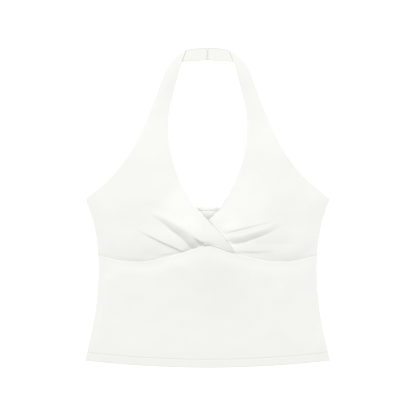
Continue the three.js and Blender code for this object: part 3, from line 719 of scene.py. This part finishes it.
# Stitching
def stitches(name, points, directions, length, radius, material):
    """A row of stitches: each a small capsule that dips into the cloth at both ends."""
    around = np.linspace(0, 2 * math.pi, 7)[:-1]
    stations = np.array([-1, -0.8, -0.4, 0, 0.4, 0.8, 1.0])
    girth = np.array([0.15, 0.7, 1, 1, 1, 0.7, 0.15])
    n = len(around)
    vertices, faces = [], []
    for p, d in zip(points, directions):
        d = d / np.linalg.norm(d)
        side = np.cross([0, 0, 1.0], d)
        start = len(vertices) * n
        for s, g in zip(stations, girth):
            ring = np.cos(around)[:, None] * side + np.sin(around)[:, None] * np.array([0, 0, 0.8])
            dip = np.array([0, 0, -0.55 * radius * s ** 4])
            vertices.append(p + d * s * length / 2 + dip + ring * radius * g)
        for k in range(len(stations) - 1):
            for j in range(n):
                a, b = start + k * n + j, start + k * n + (j + 1) % n
                faces.append((b, a, a + n, b + n))
        end = start + (len(stations) - 1) * n
        for j in range(1, n - 1):
            faces.append((start, start + j, start + j + 1))
        for j in range(n - 2, 0, -1):
            faces.append((end + n - 1, end + j, end + j - 1))
    return make_mesh(name, np.concatenate(vertices), faces, material)


def row_of_stitches(name, xs, y_of, z_of, length, material, radius=0.28):
    """Stitches along a curve, at the given places along X."""
    ys = y_of(xs)
    slope = y_of(xs + 0.5) - y_of(xs - 0.5)
    points = np.stack([xs, ys, z_of(xs, ys)], -1)
    directions = np.stack([np.ones_like(xs), slope, 0 * xs], -1)
    return stitches(name, points, directions, length, radius, material)


# Materials
def new_node(nodes, kind, values):
    node = nodes.new(kind)
    for key, value in values.items():
        node.inputs[key].default_value = value
    return node


def knit(name, colour, pitch=0.0009, relief=0.25, mottle=0.003):
    """Fine jersey: columns of stitches along Y, faint unevenness of colour, and a soft nap."""
    mat = bpy.data.materials.new(name)
    mat.use_nodes = True
    nodes, links = mat.node_tree.nodes, mat.node_tree.links
    shader = nodes["Principled BSDF"]
    shader.inputs["Roughness"].default_value = 0.88
    shader.inputs["Specular IOR Level"].default_value = 0.25
    shader.inputs["Sheen Weight"].default_value = 0.12
    shader.inputs["Sheen Roughness"].default_value = 0.6
    place = nodes.new("ShaderNodeTexCoord")

    cloud = new_node(nodes, "ShaderNodeTexNoise", {"Scale": 38, "Detail": 5})
    links.new(place.outputs["Object"], cloud.inputs["Vector"])
    tint = new_node(nodes, "ShaderNodeMapRange", {
        "From Min": 0.3, "From Max": 0.7, "To Min": 1 - mottle, "To Max": 1 + mottle,
    })
    links.new(cloud.outputs["Fac"], tint.inputs["Value"])
    paint = nodes.new("ShaderNodeMix")
    paint.data_type = "RGBA"
    paint.blend_type = "MULTIPLY"
    paint.inputs[0].default_value = 1.0
    paint.inputs[6].default_value = (*colour, 1)
    links.new(tint.outputs["Result"], paint.inputs[7])
    links.new(paint.outputs[2], shader.inputs["Base Color"])

    wave_scale = 2 * math.pi / 20 / pitch
    wales = new_node(nodes, "ShaderNodeTexWave", {
        "Scale": wave_scale, "Distortion": 1.2, "Detail": 2, "Detail Scale": 2,
    })
    wales.bands_direction = "X"
    courses = new_node(nodes, "ShaderNodeTexWave", {
        "Scale": wave_scale / 0.8, "Distortion": 1.6, "Detail": 1,
    })
    courses.bands_direction = "Y"
    links.new(place.outputs["Object"], wales.inputs["Vector"])
    links.new(place.outputs["Object"], courses.inputs["Vector"])
    join = nodes.new("ShaderNodeMath")
    join.operation = "MULTIPLY_ADD"
    join.inputs[1].default_value = 0.5
    links.new(courses.outputs["Fac"], join.inputs[0])
    links.new(wales.outputs["Fac"], join.inputs[2])
    bump = new_node(nodes, "ShaderNodeBump", {"Strength": relief, "Distance": 0.00012})
    links.new(join.outputs["Value"], bump.inputs["Height"])
    links.new(bump.outputs["Normal"], shader.inputs["Normal"])
    return mat


body_knit = knit("body_knit", (0.914, 0.922, 0.880))
halter_knit = knit("halter_knit", (0.904, 0.912, 0.871))
# The back and its top band are a shade lighter than the front's knit as painted light: it lifts them where
# they show in the V of the neckline, shaded by its rims.
inner_knit_painted_light = knit("inner_knit_painted_light", (0.95, 0.955, 0.925), pitch=0.0007)
band_knit = knit("band_knit", (0.95, 0.955, 0.925), pitch=0.0007)
# The thread's dark grey is painted shade: it stands in for the shadow in the dents where the stitches sink
# in, while the real thread is the cloth's own white.
thread_painted_shade = knit("thread_painted_shade", (0.70, 0.70, 0.68), pitch=0.0003, relief=0.5)

# The pieces
back = panel("back_panel_cloth", back_edge_y, back_middle, 70, 190, -1, inner_knit_painted_light)
band_strip = back_band("back_top_band_cloth", band_knit)
front = panel("front_waist_cloth", bust_seam_y, front_middle, 78, 170, 1, body_knit)
left = halter("halter_left_cloth", CUP_ROWS_ON_TOP, -1, upper_under, halter_knit)
right = halter("halter_right_cloth", CUP_ROWS_BELOW, 1, lower_under, halter_knit)

for node, piece, slot in (
    ("back_panel", back, "body_knit"), ("back_top_band", band_strip, "band_knit"),
    ("front_waist_panel", front, "body_knit"), ("halter_left", left, "halter_knit"),
    ("halter_right", right, "halter_knit"),
):
    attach(piece, "root")
    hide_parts(node)

# The rows of stitches: the hem's, the back band's and the neck band's are in the thread painted dark as
# shade, the seam's in the halter's knit
hem_stitches = row_of_stitches(
    "front_hem_stitches", np.arange(-190.5, 191, 3.0), lambda x: hem_y(x) + HEM_DEPTH,
    lambda x, y: front_middle(x, y) + BODY_CLOTH / 2 - 0.3, 2.4, thread_painted_shade,
)
band_stitches = row_of_stitches(
    "back_top_band_stitches", np.arange(-190, 191, 2.6), lambda x: back_edge_y(x) - BAND_DEPTH + 1.2,
    lambda x, y: 1.4 + neck_puff(x, y), 2.0, thread_painted_shade, 0.16,
)
neck_stitches = row_of_stitches(
    "neck_band_stitches", np.concatenate([np.arange(-33, -1, 2.2), np.arange(1.6, 34, 2.2)]),
    lambda x: band_upper_edge(-np.abs(x)) - 1.6,
    lambda x, y: HALTER_CLOTH + 1.0 - 0.5 * smooth(18, 34, np.abs(x)), 1.6, thread_painted_shade, 0.34,
)
seam_y = np.arange(NECK_BAND_LOWER_Y + 1.8, HALF_LENGTH - 1.2, 1.5)
seam_rise = 0.95 * (seam_y - NECK_BAND_LOWER_Y) / (HALF_LENGTH - NECK_BAND_LOWER_Y)
seam_stitches = stitches(
    "neck_seam_stitches", np.stack([0 * seam_y, seam_y, HALTER_CLOTH + 0.1 + seam_rise], -1),
    np.repeat([[0.12, 1.0, 0.05]], len(seam_y), 0), 1.5, 0.42, halter_knit,
)
for piece, slot in (
    (hem_stitches, "body_knit"), (band_stitches, "band_knit"),
    (neck_stitches, "halter_knit"), (seam_stitches, "halter_knit"),
):
    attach(piece, "root")

# Floor, light and camera
FLOOR_SIZE = 6
FLOOR_Z = -0.0003
WORLD_STRENGTH = 0.655
KEY_PLACE = (-0.3, 4.4, 3.5)
KEY_SIZE = 1.4
KEY_POWER = 182
CAMERA_PLACE = (0.00066, -0.0008, 1.8974)

bpy.ops.mesh.primitive_plane_add(size=FLOOR_SIZE, location=(0, 0, FLOOR_Z))
floor = bpy.context.object
floor.name = "floor"
paper = bpy.data.materials.new("paper")
paper.use_nodes = True
paper_shader = paper.node_tree.nodes["Principled BSDF"]
paper_shader.inputs["Base Color"].default_value = (0.95, 0.95, 0.95, 1)
paper_shader.inputs["Roughness"].default_value = 0.95
paper_shader.inputs["Emission Color"].default_value = (1, 1, 1, 1)
paper_shader.inputs["Emission Strength"].default_value = 0.5
floor.data.materials.append(paper)

world = bpy.data.worlds.new("studio")
bpy.context.scene.world = world
world.use_nodes = True
world.node_tree.nodes["Background"].inputs["Color"].default_value = (1, 1, 1, 1)
world.node_tree.nodes["Background"].inputs["Strength"].default_value = WORLD_STRENGTH


def softbox(name, place, size, power):
    """A square lamp that looks at the middle of the top."""
    data = bpy.data.lights.new(name, "AREA")
    data.shape = "SQUARE"
    data.size = size
    data.energy = power
    lamp = bpy.data.objects.new(name, data)
    lamp.location = place
    x, y, z = place
    lamp.rotation_euler = (math.atan2(math.hypot(x, y), z), 0, math.atan2(x, -y))
    bpy.context.scene.collection.objects.link(lamp)


softbox("key", KEY_PLACE, KEY_SIZE, KEY_POWER)

camera_data = bpy.data.cameras.new("camera")
camera_data.lens = 100
camera_data.sensor_width = 36
camera_data.sensor_fit = "HORIZONTAL"
camera = bpy.data.objects.new("camera", camera_data)
camera.location = CAMERA_PLACE
bpy.context.scene.collection.objects.link(camera)
bpy.context.scene.camera = camera
bpy.context.scene.view_settings.view_transform = "Standard"
